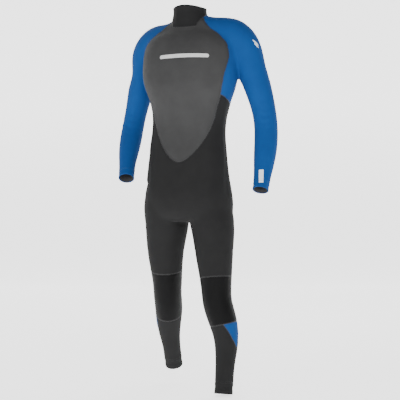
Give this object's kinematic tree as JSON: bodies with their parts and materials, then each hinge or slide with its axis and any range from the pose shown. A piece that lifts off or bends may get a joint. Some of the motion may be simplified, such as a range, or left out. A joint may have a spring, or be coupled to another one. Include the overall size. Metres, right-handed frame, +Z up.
{
  "type": "full wetsuit",
  "caption": "Full-length neoprene wetsuit with a back zip, shaped as if worn; its sleeves, elbows, hips and knees bend.",
  "frame": {"origin": "centre of the neck opening, level with the collar's rim", "axes": "+X to the wearer's left, -Y to the front of the chest, +Z up from ankles to collar"},
  "size_m": [0.6446, 0.3535, 1.4197],
  "materials": {
    "neoprene_black": "matt knitted jersey over foam",
    "neoprene_blue": "matt knitted jersey over foam",
    "smooth_skin": "satin smooth-skin with a fine mesh emboss",
    "knee_rubber": "textured abrasion-proof coating",
    "collar_neoprene": "smooth-lined neoprene",
    "zip_tape": "woven tape",
    "zip_coil": "moulded coil",
    "zip_metal": "black coated",
    "hook_and_loop": "hook-and-loop pile"
  },
  "bodies": {
    "torso": {"collar": "collar_neoprene", "collar_loop_patch": "hook_and_loop", "chest_panel": "smooth_skin", "back_panel_left": "smooth_skin", "back_panel_right": "smooth_skin", "shoulder_panel_left": "neoprene_blue", "shoulder_panel_right": "neoprene_blue", "front_body_panel": "neoprene_black", "back_body_panel": "neoprene_black", "zip_tape_left": "zip_tape", "zip_tape_right": "zip_tape", "zip_coil_left": "zip_coil", "zip_coil_right": "zip_coil", "zip_top_stops": "zip_metal", "zip_bottom_stop": "zip_metal", "zip_backing_flap": "neoprene_black", "armhole_stretch_left": "neoprene_blue", "armhole_stretch_right": "neoprene_blue"},
    "collar_closure": {"collar_tab": "collar_neoprene", "collar_tab_hooks": "hook_and_loop"},
    "zip_runner": {"zip_slider": "zip_metal"},
    "zip_pull": {"zip_pull_tab": "zip_metal"},
    "upper_arm_left": {"upper_sleeve_left": "neoprene_blue", "elbow_stretch_left": "neoprene_blue"},
    "forearm_left": {"forearm_sleeve_left": "neoprene_blue", "wrist_cuff_left": "neoprene_blue"},
    "thigh_left": {"hip_stretch_left": "neoprene_black", "thigh_panel_left": "neoprene_black", "knee_pad_left": "knee_rubber", "knee_back_left": "neoprene_black"},
    "shin_left": {"shin_panel_left": "neoprene_black", "calf_inset_left": "neoprene_blue", "ankle_cuff_left": "neoprene_black"},
    "upper_arm_right": {"upper_sleeve_right": "neoprene_blue", "elbow_stretch_right": "neoprene_blue"},
    "forearm_right": {"forearm_sleeve_right": "neoprene_blue", "wrist_cuff_right": "neoprene_blue"},
    "thigh_right": {"hip_stretch_right": "neoprene_black", "thigh_panel_right": "neoprene_black", "knee_pad_right": "knee_rubber", "knee_back_right": "neoprene_black"},
    "shin_right": {"shin_panel_right": "neoprene_black", "calf_inset_right": "neoprene_blue", "ankle_cuff_right": "neoprene_black"}
  },
  "joints": [
    {"name": "shoulder_left", "type": "hinge", "parent": "torso", "child": "upper_arm_left", "pos_m": [0.192, 0.04489, -0.288], "axis": [0, -1, 0], "range_deg": [0, 50], "stiffness_Nm_per_rad": 5, "deforming": ["armhole_stretch_left"]},
    {"name": "elbow_left", "type": "hinge", "parent": "upper_arm_left", "child": "forearm_left", "pos_m": [0.283, 0.04, -0.425], "axis": [-1, 0, 0], "range_deg": [-10, 90], "stiffness_Nm_per_rad": 2, "deforming": ["elbow_stretch_left"]},
    {"name": "hip_left", "type": "hinge", "parent": "torso", "child": "thigh_left", "pos_m": [0.0959, -0.00231, -0.852], "axis": [-1, 0, 0], "range_deg": [-15, 40], "stiffness_Nm_per_rad": 8, "deforming": ["hip_stretch_left"]},
    {"name": "knee_left", "type": "hinge", "parent": "thigh_left", "child": "shin_left", "pos_m": [0.119, -0.022, -1.08], "axis": [1, 0, 0], "range_deg": [-5, 85], "stiffness_Nm_per_rad": 3, "deforming": ["knee_pad_left", "knee_back_left"]},
    {"name": "shoulder_right", "type": "hinge", "parent": "torso", "child": "upper_arm_right", "pos_m": [-0.181, 0.0584, -0.287], "axis": [0, 1, 0], "range_deg": [0, 50], "stiffness_Nm_per_rad": 5, "deforming": ["armhole_stretch_right"]},
    {"name": "elbow_right", "type": "hinge", "parent": "upper_arm_right", "child": "forearm_right", "pos_m": [-0.266, 0.06, -0.432], "axis": [-1, 0, 0], "range_deg": [-10, 90], "stiffness_Nm_per_rad": 2, "deforming": ["elbow_stretch_right"]},
    {"name": "hip_right", "type": "hinge", "parent": "torso", "child": "thigh_right", "pos_m": [-0.10217, 0.01117, -0.852], "axis": [-1, 0, 0], "range_deg": [-15, 40], "stiffness_Nm_per_rad": 8, "deforming": ["hip_stretch_right"]},
    {"name": "knee_right", "type": "hinge", "parent": "thigh_right", "child": "shin_right", "pos_m": [-0.1152, 0.04971, -1.062], "axis": [1, 0, 0], "range_deg": [-22, 68], "stiffness_Nm_per_rad": 3, "deforming": ["knee_pad_right", "knee_back_right"]},
    {"name": "zip_slide", "type": "slide", "parent": "torso", "child": "zip_runner", "axis": [0, 0.0378, -0.9993], "range_m": [0, 0.4343], "deforming": ["zip_coil_left", "zip_coil_right"]},
    {"name": "zip_pull_lift", "type": "hinge", "parent": "zip_runner", "child": "zip_pull", "pos_m": [0, 0.09767, -0.10982], "axis": [1, 0, 0], "range_deg": [0, 140]},
    {"name": "collar_tab_peel", "type": "hinge", "parent": "torso", "child": "collar_closure", "pos_m": [0.033, 0.06219, -0.021], "axis": [0, 0.1253, -0.9921], "range_deg": [0, 150]}
  ]
}
